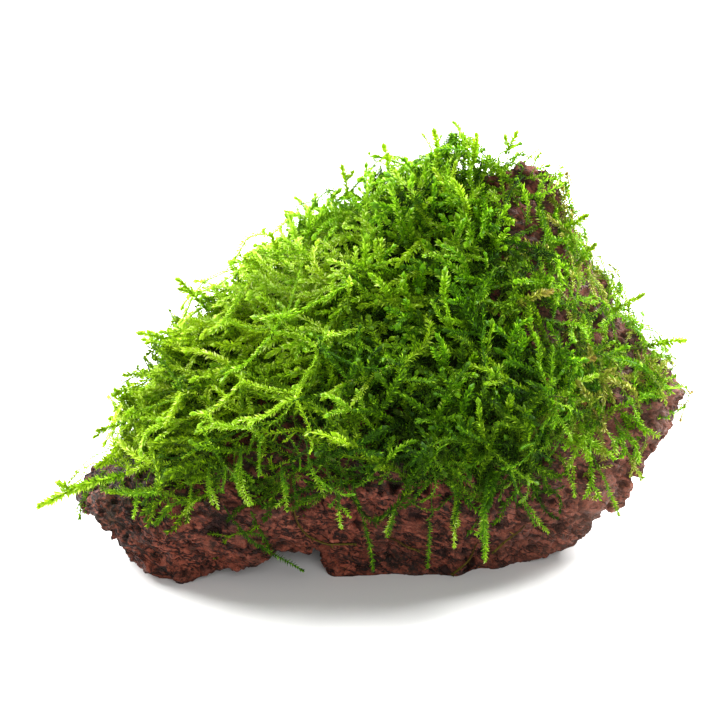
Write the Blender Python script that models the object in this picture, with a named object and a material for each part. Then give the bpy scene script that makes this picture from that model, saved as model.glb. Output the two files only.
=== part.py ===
"""Java moss growing over a wedge of reddish lava rock, as kept in an aquarium.

The rock is lofted through cross-sections that run from its low left end to its right end, then
roughened with lumps, ledges and gas pits and cut flat where it stands. The moss cushion is the
same loft swollen over the crest and the brow, with shaggy tufts, and hollowed to fit the rock.
Single fronds and bare creeping stems are separate solids that start just clear of the cushion.
Metres, +Z up, +X to the right and -Y to the front. The origin is at the middle of the base.
"""
import math
import random

import bmesh
import bpy
from mathutils import Vector, kdtree, noise
from mathutils.bvhtree import BVHTree

MM = 0.001

# Clearance kept between touching pieces, and the shortest edge that a cut leaves
GAP = 0.3 * MM
SLIVER = 0.02 * MM

# Rock sections in millimetres, from the left end to the right end. Each has its place along X,
# then (y, z) of the front foot, front belly, brow, crest, back shoulder, back belly, back foot
# and underside. Points below zero are where the rock is cut flat to stand.
ROCK_SECTIONS = (
    (-70, (-16, 12), (-18, 14), (-16, 17), (-12, 19), (-9, 17), (-8, 14), (-9, 12), (-12, 11)),
    (-63, (-22, 9), (-26, 15), (-23, 20), (-12, 24), (-2, 21), (1, 14), (-3, 8), (-12, 7)),
    (-54, (-27, 2), (-32, 13), (-27, 23), (-10, 29), (4, 26), (9, 15), (3, 6), (-12, 2)),
    (-45, (-30, -3), (-35, 16), (-29, 28), (-6, 36), (10, 31), (16, 16), (8, 3), (-14, -4)),
    (-34, (-30, 3), (-34, 20), (-29, 34), (-2, 44), (15, 38), (22, 18), (14, -2), (-10, 7)),
    (-23, (-30, 7), (-34, 22), (-29, 37), (3, 53), (20, 46), (28, 21), (21, -4), (-5, 8)),
    (-12, (-28, 8), (-34, 22), (-31, 38), (7, 62), (24, 53), (32, 24), (26, -4), (-4, 6)),
    (-6, (-25, -2), (-34, 19), (-33, 37), (10, 67), (26, 57), (34, 26), (28, -4), (0, -4)),
    (10, (-23, -4), (-33, 17), (-33, 36), (11, 80), (29, 64), (36, 28), (28, -4), (0, -4)),
    (26, (-23, -4), (-32, 16), (-31, 38), (12, 88), (30, 68), (36, 28), (26, -4), (0, -4)),
    (39, (-18, -3), (-28, 16), (-27, 41), (13, 93), (28, 70), (33, 29), (19, -3), (0, -4)),
    (46, (-17, 0), (-26, 16), (-22, 42), (13, 89), (26, 65), (30, 30), (16, 6), (0, 2)),
    (54, (-15, 4), (-22, 19), (-18, 41), (11, 70), (22, 56), (26, 32), (14, 10), (0, 5)),
    (64, (-11, 10), (-16, 24), (-12, 40), (7, 55), (16, 47), (20, 34), (11, 17), (1, 12)),
    (73, (-5, 22), (-9, 30), (-6, 40), (4, 46), (11, 43), (13, 36), (8, 27), (2, 23)),
    (77, (0, 32), (-2, 34), (0, 38), (3, 40), (6, 39), (7, 36), (5, 33), (3, 32)),
)

# How far the moss mass stands off each section, in millimetres: front belly, brow, crest, back
# shoulder and back belly. Below zero it lies inside the rock, so none grows there.
MOSS_DEPTHS = (
    (-6, -6, -6, -6, -6),
    (-8, -1, 4, 0, -6),
    (-9, 3, 12, 6, -6),
    (-9, 5, 17, 10, -6),
    (-9, 5, 18, 11, -6),
    (-9, 5, 18, 11, -6),
    (-9, 7, 17, 11, -6),
    (-8, 9, 17, 11, -6),
    (-8, 9, 12, 9, -6),
    (-8, 10, 6, 7, -6),
    (-8, 9, 1, 5, -6),
    (-8, 7, -1, 3, -6),
    (-8, 5, 4, 3, -6),
    (-8, 3, 4, 2, -6),
    (-6, -2, 0, -2, -6),
    (-6, -6, -6, -6, -6),
)

# Locks that droop over the brow, in millimetres: place along X, then length.
HEM_LOCKS = ((-52, 8), (-44, 10), (-34, 12), (-26, 17), (-17, 9), (-7, 11), (3, 9), (12, 12),
             (20, 9), (29, 18), (37, 10), (46, 12), (55, 9), (63, 7))

# Fronds that hang down the rock face, in millimetres: width, then the (x, z) points they pass,
# seen from the front. Each lies just off the moss or rock behind it.
HANGING_FRONDS = {
    "frond_hanging_01": (2.2, (-52, 28), (-53, 19)),
    "frond_hanging_02": (2.2, (-39, 30), (-40, 20)),
    "frond_hanging_03": (2.6, (-35, 34), (-33, 23)),
    "frond_hanging_04": (3.6, (-27, 38), (-26, 24)),
    "frond_hanging_05": (2.2, (-32, 23), (-23, 12), (-14, 5)),
    "frond_hanging_06": (2.2, (-18, 35), (-17, 23)),
    "frond_hanging_07": (2.2, (-12, 36), (-9, 26)),
    "frond_hanging_08": (2.4, (-5, 29), (-5, 20)),
    "frond_hanging_09": (1.8, (-2, 30), (2, 13), (3, 5)),
    "frond_hanging_10": (2.4, (9, 26), (6, 16)),
    "frond_hanging_11": (2.2, (16, 28), (16, 5)),
    "frond_hanging_12": (2.2, (22, 27), (22, 12)),
    "frond_hanging_13": (3.6, (28, 34), (29, 12)),
    "frond_hanging_14": (2.4, (35, 28), (44, 12)),
    "frond_hanging_15": (2.2, (46, 32), (51, 21)),
    "frond_hanging_16": (2.2, (53, 34), (57, 24), (62, 14)),
    "frond_hanging_17": (2.2, (60, 37), (66, 29)),
}

# Fronds that stand out of the moss, in millimetres: width, a point inside the moss that they
# come from, and the tip.
STANDING_FRONDS = {
    "frond_standing_01": (2.0, (-54, -27, 27), (-75, -28, 20)),
    "frond_standing_02": (2.0, (-48, -14, 37), (-62, -16, 34)),
    "frond_standing_03": (2.2, (-45, -8, 44), (-56, -12, 47)),
    "frond_standing_04": (2.2, (-40, -6, 50), (-52, -8, 56)),
    "frond_standing_05": (2.4, (-34, -2, 55), (-43, -2, 67)),
    "frond_standing_06": (2.2, (-27, 2, 58), (-31, 2, 70)),
    "frond_standing_07": (2.2, (-18, 4, 64), (-21, 4, 76)),
    "frond_standing_08": (2.2, (-2, 10, 76), (-4, 8, 92)),
    "frond_standing_09": (2.2, (8, 11, 85), (6, 8, 97)),
    "frond_standing_10": (2.2, (19, 12, 88), (18, 10, 100)),
    "frond_standing_11": (2.2, (26, 12, 88), (28, 10, 99)),
    "frond_standing_12": (1.8, (34, 12, 88), (37, 12, 99)),
    "frond_standing_13": (2.2, (43, 8, 73), (54, 6, 80)),
    "frond_standing_14": (2.0, (49, 4, 66), (56, 6, 73)),
    "frond_standing_15": (2.2, (58, 2, 56), (68, 3, 61)),
    "frond_standing_16": (2.2, (63, 0, 47), (78, 0, 51)),
    "frond_standing_17": (2.2, (-36, 8, 46), (-44, 26, 48)),
    "frond_standing_18": (2.2, (-14, 16, 60), (-18, 36, 63)),
    "frond_standing_19": (2.2, (12, 20, 74), (10, 42, 72)),
}

# Bare stems that creep over the rock face, in millimetres: the (x, z) points they pass.
CREEPING_STEMS = {
    "stem_creeping_1": ((-16, 30), (-16, 23), (-14, 15), (-8, 11), (-2, 12)),
    "stem_creeping_2": ((7, 13), (10, 10), (13, 8)),
    "stem_creeping_3": ((39, 14), (35, 11), (32, 7)),
    "stem_creeping_4": ((27, 11), (26, 5), (22, 2)),
}

# How the rock's skin is made and roughened. Plain numbers are millimetres.
ROCK_VOXEL = 1.3 * MM
ROCK_SMOOTHING = 4
ROCK_TRIANGLES = 4900
LUMP_SIZE = 24.0
LUMP_HEIGHT = 2.6
KNOB_SIZE = 7.5
KNOB_HEIGHT = 2.0
LEDGE_STEP = 9.5
LEDGE_DEPTH = 2.4
LEDGE_TILT = 0.2
LEDGE_WAVE_SIZE = 22.0
LEDGE_WAVE_HEIGHT = 7.0
PIT_COUNT = 160
PIT_RADIUS = (2.0, 4.8)
PIT_DEPTH = 0.9

# How the moss mass is made. The loft runs inside the rock by the inner depth.
MOSS_VOXEL = 1.5 * MM
MOSS_SMOOTHING = 1
MOSS_TRIANGLES = 2350
MOSS_LUMP_SIZE = 8.0
MOSS_LUMP_HEIGHT = 2.2
INNER_DEPTH = -3
BED_FINE_VOXEL = 1.2 * MM
BED_VOXEL = 2.0 * MM
BED_STAND_OFF = 2.2 * MM
BED_TRIANGLES = 1600

# The locks of the moss. Places on the loft are counted in sections along and points around.
TUFT_COUNT = 78
TUFT_SIDES = 6
TUFT_RINGS = 5
TUFT_LENGTH = (12.0, 16.5)
TUFT_RADIUS = 4.2
TUFT_SINK = 6.0
TUFT_DROOP = 3.0
TUFTS_FIRST_SECTION = 1.3
TUFTS_SECTIONS = 11.4
TUFTS_FIRST_POINT = 2.0
TUFTS_POINTS = 2.5
GOLDEN_STEP = 0.618034
THIN_FROM_SECTION = 9.5
THIN_SHARE = 0.6
HEM_POINT = 1.9
HEM_RADIUS = 3.3
HEM_SINK = 1.5
HEM_OVERLAP = 4.0

# The single fronds and stems
BLADE_SIDES = 5
STEM_DIAMETER = 0.9
STEM_RING_SPACING = 1.8 * MM
FROND_RING_SPACING = 3.0 * MM
FROND_FLATNESS = 0.45
FROND_ARCH = 0.1
STAND_OFF = 0.9 * MM
HANG_BACK = 0.3
CLEARING_TURNS = 6
FRONT = Vector((0, -1, 0))


def clear_scene():
    """Removes what the file opened with."""
    for obj in list(bpy.data.objects):
        bpy.data.objects.remove(obj, do_unlink=True)


def material(name, color, roughness, metallic=0.0):
    """A plain Principled material."""
    made = bpy.data.materials.new(name)
    made.use_nodes = True
    shader = made.node_tree.nodes["Principled BSDF"]
    shader.inputs["Base Color"].default_value = (*color, 1.0)
    shader.inputs["Roughness"].default_value = roughness
    shader.inputs["Metallic"].default_value = metallic
    return made


def add_object(name, form, look=None):
    """Turns a bmesh into a named object and frees the bmesh."""
    mesh = bpy.data.meshes.new(name)
    form.to_mesh(mesh)
    form.free()
    obj = bpy.data.objects.new(name, mesh)
    bpy.context.scene.collection.objects.link(obj)
    if look:
        mesh.materials.append(look)
    return obj


def apply_modifiers(obj):
    """Replaces the object's mesh with the mesh that its modifiers make."""
    evaluated = obj.evaluated_get(bpy.context.evaluated_depsgraph_get())
    mesh = bpy.data.meshes.new_from_object(evaluated)
    obj.modifiers.clear()
    obj.data = mesh


def remesh(obj, voxel):
    """Fuses the object's shells into one even skin."""
    modifier = obj.modifiers.new("Remesh", "REMESH")
    modifier.mode = "VOXEL"
    modifier.voxel_size = voxel
    apply_modifiers(obj)


def decimate(obj, triangles):
    """Brings the mesh down to a number of triangles."""
    form = bmesh.new()
    form.from_mesh(obj.data)
    bmesh.ops.triangulate(form, faces=form.faces)
    form.to_mesh(obj.data)
    count = len(form.faces)
    form.free()
    modifier = obj.modifiers.new("Decimate", "DECIMATE")
    modifier.ratio = min(1.0, triangles / count)
    apply_modifiers(obj)


def smooth(obj, rounds, factor=0.5):
    """Evens out the skin."""
    modifier = obj.modifiers.new("Smooth", "SMOOTH")
    modifier.iterations = rounds
    modifier.factor = factor
    apply_modifiers(obj)


def subtract(obj, cutter):
    """Cuts one closed solid out of another."""
    modifier = obj.modifiers.new("Cut", "BOOLEAN")
    modifier.operation = "DIFFERENCE"
    modifier.solver = "EXACT"
    modifier.object = cutter
    apply_modifiers(obj)


def push_out(obj, distance):
    """Moves each point along the skin's normal, by a function of the point and the normal."""
    skin = [(vertex, vertex.co.copy(), vertex.normal.copy()) for vertex in obj.data.vertices]
    for vertex, point, normal in skin:
        vertex.co = point + normal * distance(point, normal)


def surface_of(obj):
    """A search tree over an object's faces."""
    form = bmesh.new()
    form.from_mesh(obj.data)
    tree = BVHTree.FromBMesh(form)
    form.free()
    return tree


def loft(form, rings):
    """Skins closed rings of equal point counts, with a flat cap at each end."""
    loops = [[form.verts.new(point) for point in ring] for ring in rings]
    count = len(loops[0])
    for near, far in zip(loops, loops[1:]):
        for i in range(count):
            j = (i + 1) % count
            form.faces.new((near[i], near[j], far[j], far[i]))
    form.faces.new(reversed(loops[0]))
    form.faces.new(loops[-1])


def section_rings(depths=None):
    """The rock's sections as points in metres, swollen by the moss depths when these are given."""
    rings = []
    for row, (x, *outline) in enumerate(ROCK_SECTIONS):
        middle_y = sum(y for y, z in outline) / len(outline)
        middle_z = sum(z for y, z in outline) / len(outline)
        inner = INNER_DEPTH
        swell = [inner, *depths[row], inner, inner] if depths else [0] * len(outline)
        ring = []
        for (y, z), depth in zip(outline, swell):
            outward = Vector((0.0, y - middle_y, z - middle_z)).normalized()
            ring.append((Vector((x, y, z)) + outward * depth) * MM)
        rings.append(ring)
    return rings


def keep_largest(form):
    """Deletes every separate shell but the one with the most faces."""
    left = set(form.faces)
    shells = []
    while left:
        shell = set()
        found = [left.pop()]
        while found:
            face = found.pop()
            shell.add(face)
            for edge in face.edges:
                for other in edge.link_faces:
                    if other in left:
                        left.discard(other)
                        found.append(other)
        shells.append(shell)
    largest = max(shells, key=len)
    spare = [face for face in form.faces if face not in largest]
    bmesh.ops.delete(form, geom=spare, context="FACES")


def rock_relief(place, normal):
    """How far the weathered skin stands out, from lumps, knobs and ledges."""
    point = place / MM
    slope = 1.0 - abs(normal.z)
    lumps = LUMP_HEIGHT * noise.noise(point / LUMP_SIZE)
    knobs = KNOB_HEIGHT * noise.noise(point / KNOB_SIZE + Vector((7.0, 3.0, 1.0)))
    wave = LEDGE_WAVE_HEIGHT * noise.noise(point / LEDGE_WAVE_SIZE)
    layer = (point.z + LEDGE_TILT * point.x + wave) / LEDGE_STEP
    ledges = LEDGE_DEPTH * (layer % 1.0 - 0.5) * slope
    return (lumps + knobs + ledges) * MM


def dig_pits(mesh, rng):
    """Sinks open gas pits into the skin, each a round bowl along the skin's own normal."""
    tree = kdtree.KDTree(len(mesh.vertices))
    for vertex in mesh.vertices:
        tree.insert(vertex.co, vertex.index)
    tree.balance()
    normals = [vertex.normal.copy() for vertex in mesh.vertices]
    taken = []
    while len(taken) < PIT_COUNT:
        seat = mesh.vertices[rng.randrange(len(mesh.vertices))].co.copy()
        radius = rng.uniform(*PIT_RADIUS) * MM
        if any((seat - other).length < radius + reach for other, reach in taken):
            continue
        taken.append((seat, radius))
    for seat, radius in taken:
        inward = -normals[tree.find(seat)[1]]
        for place, index, distance in tree.find_range(seat, radius):
            bowl = math.sqrt(1.0 - (distance / radius) ** 2)
            mesh.vertices[index].co += inward * (PIT_DEPTH * radius * bowl)


def cut_feet(obj):
    """Cuts the rock flat at z = 0, so that it stands on its feet."""
    form = bmesh.new()
    form.from_mesh(obj.data)
    everything = list(form.verts) + list(form.edges) + list(form.faces)
    bmesh.ops.bisect_plane(form, geom=everything, dist=1e-7, plane_co=(0, 0, 0),
                           plane_no=(0, 0, -1), clear_outer=True)
    rims = [edge for edge in form.edges if edge.is_boundary]
    bmesh.ops.holes_fill(form, edges=rims, sides=0)
    bmesh.ops.triangulate(form, faces=form.faces)
    bmesh.ops.dissolve_degenerate(form, edges=form.edges, dist=SLIVER)
    keep_largest(form)
    bmesh.ops.recalc_face_normals(form, faces=form.faces)
    form.to_mesh(obj.data)
    form.free()


def make_rock(look):
    """The lava rock: lofted, roughened and cut flat."""
    form = bmesh.new()
    loft(form, section_rings())
    bmesh.ops.recalc_face_normals(form, faces=form.faces)
    rock = add_object("lava_rock", form, look)
    remesh(rock, ROCK_VOXEL)
    smooth(rock, ROCK_SMOOTHING)
    push_out(rock, rock_relief)
    dig_pits(rock.data, random.Random(11))
    remesh(rock, ROCK_VOXEL)
    decimate(rock, ROCK_TRIANGLES)
    cut_feet(rock)
    return rock


def make_bed(rock):
    """A plain closed form just bigger than the rock, which the moss is hollowed with."""
    bed = bpy.data.objects.new("moss_bed", rock.data.copy())
    bpy.context.scene.collection.objects.link(bed)
    bed.hide_render = True
    bed.display_type = "WIRE"
    remesh(bed, BED_FINE_VOXEL)
    push_out(bed, lambda point, normal: BED_STAND_OFF)
    remesh(bed, BED_VOXEL)
    decimate(bed, BED_TRIANGLES)
    return bed


def on_rings(rings, along, around):
    """A point of the loft, and its outward direction, by section number and ring place."""
    i = min(int(along), len(rings) - 2)
    j = int(around)
    u = along - i
    v = around - j
    near = rings[i][j].lerp(rings[i][j + 1], v)
    far = rings[i + 1][j].lerp(rings[i + 1][j + 1], v)
    across = rings[i][j + 1] - rings[i][j]
    lengthways = far - near
    outward = lengthways.cross(across).normalized()
    return near.lerp(far, u), outward


def add_tuft(form, root, direction, length, radius, droop):
    """A pointed lock of moss: a bent cone with a six-sided section."""
    side = direction.orthogonal().normalized()
    other = direction.cross(side)
    turns = [2.0 * math.pi * k / TUFT_SIDES for k in range(TUFT_SIDES)]
    rings = []
    for step in range(TUFT_RINGS):
        t = step / (TUFT_RINGS - 1)
        middle = root + direction * (length * t) + Vector((0, 0, -droop * t * t))
        size = radius * (1.0 - 0.72 * t ** 1.5)
        rings.append([middle + (side * math.cos(a) + other * math.sin(a)) * size for a in turns])
    loft(form, rings)


def section_at(x):
    """The section number, whole or between two, at a place along X in millimetres."""
    places = [row[0] for row in ROCK_SECTIONS]
    left = max(i for i in range(len(places) - 1) if places[i] <= x)
    return left + (x - places[left]) / (places[left + 1] - places[left])


def add_tufts(form, rings):
    """Shags the cushion: locks that point out of the skin, leaning left and over the brow."""
    rng = random.Random(5)
    for x, length in HEM_LOCKS:
        root, outward = on_rings(rings, section_at(x), HEM_POINT)
        direction = Vector((rng.uniform(-0.35, 0.15), -0.35, -1.0)).normalized()
        start = root - (outward * HEM_SINK + direction * HEM_OVERLAP) * MM
        add_tuft(form, start, direction, (length + HEM_OVERLAP) * MM, HEM_RADIUS * MM, 0.0)
    for number in range(TUFT_COUNT):
        along = TUFTS_FIRST_SECTION + TUFTS_SECTIONS * (number + rng.random()) / TUFT_COUNT
        around = TUFTS_FIRST_POINT + TUFTS_POINTS * ((number * GOLDEN_STEP) % 1.0) ** 1.3
        root, outward = on_rings(rings, along, around)
        front = max(0.0, 3.0 - around)
        lean = Vector((-0.75 + 0.12 * along, -0.4 * front, 0.5 - 1.3 * front))
        lean += Vector((rng.uniform(-0.4, 0.4), rng.uniform(-0.3, 0.3), rng.uniform(-0.2, 0.3)))
        direction = (outward + lean).normalized()
        size = MM if along < THIN_FROM_SECTION else MM * THIN_SHARE
        length = rng.uniform(*TUFT_LENGTH) * size
        start = root - direction * TUFT_SINK * size
        add_tuft(form, start, direction, length, TUFT_RADIUS * size, TUFT_DROOP * front * MM)


def moss_relief(place, normal):
    """How far the moss skin stands out between its locks."""
    return MOSS_LUMP_HEIGHT * MM * noise.noise(place / MM / MOSS_LUMP_SIZE)


def make_cushion(bed, look):
    """The moss cushion: the swollen loft with its tufts, hollowed over the rock."""
    rings = section_rings(MOSS_DEPTHS)
    form = bmesh.new()
    loft(form, rings)
    add_tufts(form, rings)
    bmesh.ops.recalc_face_normals(form, faces=form.faces)
    cushion = add_object("moss_cushion", form, look)
    remesh(cushion, MOSS_VOXEL)
    smooth(cushion, MOSS_SMOOTHING)
    push_out(cushion, moss_relief)
    decimate(cushion, MOSS_TRIANGLES)
    subtract(cushion, bed)
    form = bmesh.new()
    form.from_mesh(cushion.data)
    bmesh.ops.triangulate(form, faces=form.faces)
    bmesh.ops.dissolve_degenerate(form, edges=form.edges, dist=SLIVER)
    keep_largest(form)
    bmesh.ops.triangulate(form, faces=form.faces)
    form.to_mesh(cushion.data)
    form.free()
    return cushion


def smooth_line(points, spacing):
    """Evenly spread points of a smooth curve through a few given ones."""
    padded = [points[0], *points, points[-1]]
    dense = []
    for before, near, far, after in zip(padded, padded[1:], padded[2:], padded[3:]):
        for step in range(12):
            t = step / 12
            lean = (far - before) * (t - 2 * t * t + t ** 3) / 2
            lean += (after - near) * (t ** 3 - t * t) / 2
            dense.append(near.lerp(far, t * t * (3 - 2 * t)) + lean)
    dense.append(points[-1])
    lengths = [0.0]
    for near, far in zip(dense, dense[1:]):
        lengths.append(lengths[-1] + (far - near).length)
    count = max(5, round(lengths[-1] / spacing) + 1)
    line = []
    for number in range(count):
        wanted = lengths[-1] * number / (count - 1)
        place = max(i for i in range(len(dense)) if lengths[i] <= wanted + 1e-9)
        line.append(dense[place])
    return line


def stand_clear(line, widths, solids):
    """Moves a line's points out until their rings are off every solid, and evens the line."""
    for turn in range(CLEARING_TURNS):
        if turn:
            inner = [(a + b * 2 + c) / 4 for a, b, c in zip(line, line[1:], line[2:])]
            line = [line[0], *inner, line[-1]]
        for number, width in enumerate(widths):
            distance = 0.5 * width + 1.5 * GAP
            for tree in solids:
                spot, normal, _, _ = tree.find_nearest(line[number])
                away = line[number] - spot
                if away.length < distance:
                    outward = away.normalized() if away.dot(normal) > 0 else normal
                    line[number] = spot + outward * distance
    return line


def down_the_face(places, spacing, solids):
    """A line that passes (x, z) places just in front of the moss or rock behind them."""
    flat = smooth_line([Vector((x, 0.0, z)) * MM for x, z in places], spacing)
    line = []
    for point in flat:
        start = Vector((point.x, -90 * MM, point.z))
        hits = [tree.ray_cast(start, -FRONT)[0] for tree in solids[:2]]
        fronts = [hit.y for hit in hits if hit is not None]
        y = min(fronts) - STAND_OFF if fronts else line[-1].y
        if line:
            y = min(y, line[-1].y + HANG_BACK * (flat[1] - flat[0]).length)
        line.append(Vector((point.x, y, point.z)))
    return line


def frond_widths(count, width):
    """A frond's width along its line: slim at the root, blunt at the tip."""
    shares = [number / (count - 1) for number in range(count)]
    return [width * MM * (0.35 + 0.65 * min(1.0, 3 * t)) * (1 - 0.6 * t ** 5) for t in shares]


def add_blade(form, line, widths, flatness, facing):
    """Skins a tapered blade along a line, its flat side to a direction."""
    turns = [2.0 * math.pi * k / BLADE_SIDES for k in range(BLADE_SIDES)]
    rings = []
    for number, middle in enumerate(line):
        ahead = line[min(number + 1, len(line) - 1)] - line[max(number - 1, 0)]
        side = ahead.cross(facing).normalized()
        over = side.cross(ahead).normalized()
        wide = widths[number] / 2
        thick = wide * flatness
        rings.append([middle + side * math.cos(a) * wide + over * math.sin(a) * thick
                      for a in turns])
    loft(form, rings)
    bmesh.ops.recalc_face_normals(form, faces=form.faces)
    bmesh.ops.triangulate(form, faces=form.faces)


def make_hanging_frond(name, width, places, solids, look):
    """A frond that hangs from the hem of the moss."""
    line = down_the_face(places, FROND_RING_SPACING, solids)
    widths = frond_widths(len(line), width)
    form = bmesh.new()
    add_blade(form, stand_clear(line, widths, solids), widths, FROND_FLATNESS, FRONT)
    return add_object(name, form, look)


def make_standing_frond(name, width, source, tip, solids, look):
    """A frond that stands out of the moss: it starts just off the skin and arches to its tip."""
    tip = Vector(tip) * MM
    inward = Vector(source) * MM - tip
    hits = [tree.ray_cast(tip, inward.normalized())[0] for tree in solids[:2]]
    root = min((hit for hit in hits if hit), key=lambda hit: (hit - tip).length)
    middle = root.lerp(tip, 0.5) + Vector((0, 0, FROND_ARCH * (tip - root).length))
    line = smooth_line([root, middle, tip], FROND_RING_SPACING)
    widths = frond_widths(len(line), width)
    form = bmesh.new()
    facing = Vector((0, -1, 0.3))
    add_blade(form, stand_clear(line, widths, solids), widths, FROND_FLATNESS, facing)
    return add_object(name, form, look)


def make_stem(name, places, solids, look):
    """A bare stem that creeps over the rock."""
    line = down_the_face(places, STEM_RING_SPACING, solids)
    widths = [STEM_DIAMETER * MM] * len(line)
    form = bmesh.new()
    add_blade(form, stand_clear(line, widths, solids), widths, 1.0, FRONT)
    return add_object(name, form, look)


def centre_on_base(objects):
    """Moves the whole part so that the middle of its base is the origin."""
    corners = [vertex.co for obj in objects for vertex in obj.data.vertices]
    middle_x = (min(c.x for c in corners) + max(c.x for c in corners)) / 2
    middle_y = (min(c.y for c in corners) + max(c.y for c in corners)) / 2
    for obj in objects:
        for vertex in obj.data.vertices:
            vertex.co -= Vector((middle_x, middle_y, 0.0))


def main():
    """Builds every solid of the part."""
    clear_scene()
    rock_look = material("rock", (0.20, 0.085, 0.055), 0.75)
    moss_look = material("moss", (0.16, 0.30, 0.02), 0.6)
    frond_look = material("frond", (0.30, 0.45, 0.05), 0.5)
    stem_look = material("stem", (0.12, 0.13, 0.03), 0.6)
    rock = make_rock(rock_look)
    cushion = make_cushion(make_bed(rock), moss_look)
    parts = [rock, cushion]
    solids = [surface_of(rock), surface_of(cushion)]
    for name, (width, *places) in HANGING_FRONDS.items():
        parts.append(make_hanging_frond(name, width, places, solids, frond_look))
        solids.append(surface_of(parts[-1]))
    for name, (width, source, tip) in STANDING_FRONDS.items():
        parts.append(make_standing_frond(name, width, source, tip, solids, frond_look))
        solids.append(surface_of(parts[-1]))
    for name, places in CREEPING_STEMS.items():
        parts.append(make_stem(name, places, solids, stem_look))
        solids.append(surface_of(parts[-1]))
    centre_on_base(parts)


main()
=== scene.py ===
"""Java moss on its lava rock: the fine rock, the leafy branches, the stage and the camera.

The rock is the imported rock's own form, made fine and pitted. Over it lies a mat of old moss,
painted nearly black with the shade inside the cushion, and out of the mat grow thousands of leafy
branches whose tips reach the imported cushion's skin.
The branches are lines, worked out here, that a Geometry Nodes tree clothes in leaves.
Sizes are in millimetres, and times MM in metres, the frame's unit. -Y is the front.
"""
import heapq
import math

import bmesh
import bpy
import numpy as np
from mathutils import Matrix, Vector, noise
from mathutils.bvhtree import BVHTree
from mathutils.kdtree import KDTree


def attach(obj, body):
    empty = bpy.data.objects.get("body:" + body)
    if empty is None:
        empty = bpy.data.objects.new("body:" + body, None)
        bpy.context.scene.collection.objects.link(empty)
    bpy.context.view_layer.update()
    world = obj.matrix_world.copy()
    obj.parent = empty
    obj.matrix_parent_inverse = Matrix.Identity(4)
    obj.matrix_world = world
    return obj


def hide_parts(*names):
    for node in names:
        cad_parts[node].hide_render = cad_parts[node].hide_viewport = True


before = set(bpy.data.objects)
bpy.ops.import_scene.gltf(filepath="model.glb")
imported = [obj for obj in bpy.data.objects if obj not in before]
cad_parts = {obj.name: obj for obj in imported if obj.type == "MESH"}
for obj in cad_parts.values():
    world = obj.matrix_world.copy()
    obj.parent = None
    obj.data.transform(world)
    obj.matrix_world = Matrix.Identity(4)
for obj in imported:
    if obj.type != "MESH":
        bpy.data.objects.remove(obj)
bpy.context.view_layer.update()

MM = 0.001
SEED = 7

# The camera, where the photographer's stood. Its distance and its aim are in metres.
CAMERA_ELEVATION = math.radians(21)
CAMERA_DISTANCE = 0.485
CAMERA_LENS = 100
CAMERA_AIM = Vector((-0.0024, 0.0, 0.0467))

# The fine rock: how often it is evened, the share of its triangles that is kept, the height above
# which its relief is whole, the height below which it lies on the floor, and how far the film of
# algae reaches from the moss
ROCK_VOXEL = 0.56 * MM
ROCK_EVENING = 8
ROCK_KEPT = 0.62
FOOT_FADE = 2.0
FOOT_FLAT = 0.35
ALGAE_REACH = 11.0

# The rock's relief: the thickness of its layers, how far ledges, crags and grains stand out and
# how wide crags and grains are, its pores, and the depth of its cracks and the gap between them
LAYER = 3.4
LEDGE = 1.1
CRAG = 0.65
CRAG_WIDTH = 2.6
ROUGH = 0.5
ROUGH_WIDTH = 1.2
WIDE_PORES = dict(size=5.2, depth=2.4, share=0.32)
SMALL_PORES = dict(size=2.6, depth=1.4, share=0.65)
CRACK = 1.5
CRACK_GAP = 2.4

# The mat of old moss lies a depth under the cushion's skin. Over the rock it is at least so high,
# if a cover of moss is left over it, and never higher than the most. Its reach is how far away the
# cushion's skin is looked for. It loses height towards the bare rock, and ends inside the rock.
MAT_VOXEL = 1.3 * MM
MAT_EVENING = 4
MAT_DEPTH = 5.0
MAT_LEAST = 1.6
MAT_COVER = 2.0
MAT_MOST = 12.0
MAT_REACH = 34.0
MAT_THINNING = 7.0
MAT_END = -1.5

# The hem is the moss's edge, where it thins out towards the bare rock. It is wider at the front,
# over the hollow under the rock, between two places across, and fades to the other width at both.
HEM_WIDTH = 9.5
HEM_GAP_WIDTH = 11.0
HEM_GAP_FROM = -38.0
HEM_GAP_TO = 12.0
HEM_GAP_FADE = 8.0

# Layers of branches, from the outside in. Each says how many pieces share its branches, how many
# they are, how far apart they start, how deep their tips lie under the cushion's skin, how long
# they are and of how many points, and how large their leaves are. Foot and tip are their light
# there, darker in the deeper layers as painted shade, and the next pair is what painted light,
# where the moss faces the lamps, and new growth add to both. Then follow the shares that lie along
# the skin and that stand proud of it, the most side shoots, the gap between leaves, how much the
# hem thins the layer, and the length of the buds.
STRANDS = dict(pieces=3, count=760, apart=2.6, depth=(-1.0, 1.0), length=(15, 28), points=12,
               size=(0.95, 1.3), foot=(0.03, 0.14), tip=(0.22, 0.88), fresh=(0.5, 0.3),
               lying=0.55, proud=0.3, shoots=2, gap=0.14, hem=0.97, bud=2.0)
MIDDLE = dict(pieces=2, count=1150, apart=2.0, depth=(1.4, 3.4), length=(8, 16), points=7,
              size=(0.8, 1.1), foot=(0.01, 0.06), tip=(0.06, 0.26), fresh=(0.42, 0.4),
              lying=0.3, proud=0.0, shoots=1, gap=0.21, hem=1.0, bud=0.9)
INNER = dict(pieces=1, count=1200, apart=1.6, depth=(2.8, 5.4), length=(6, 11), points=5,
             size=(0.8, 1.2), foot=(0.01, 0.03), tip=(0.02, 0.1), fresh=(0.32, 0.4),
             lying=0.0, proud=0.0, shoots=0, gap=0.34, hem=1.0, bud=0.6)

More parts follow.
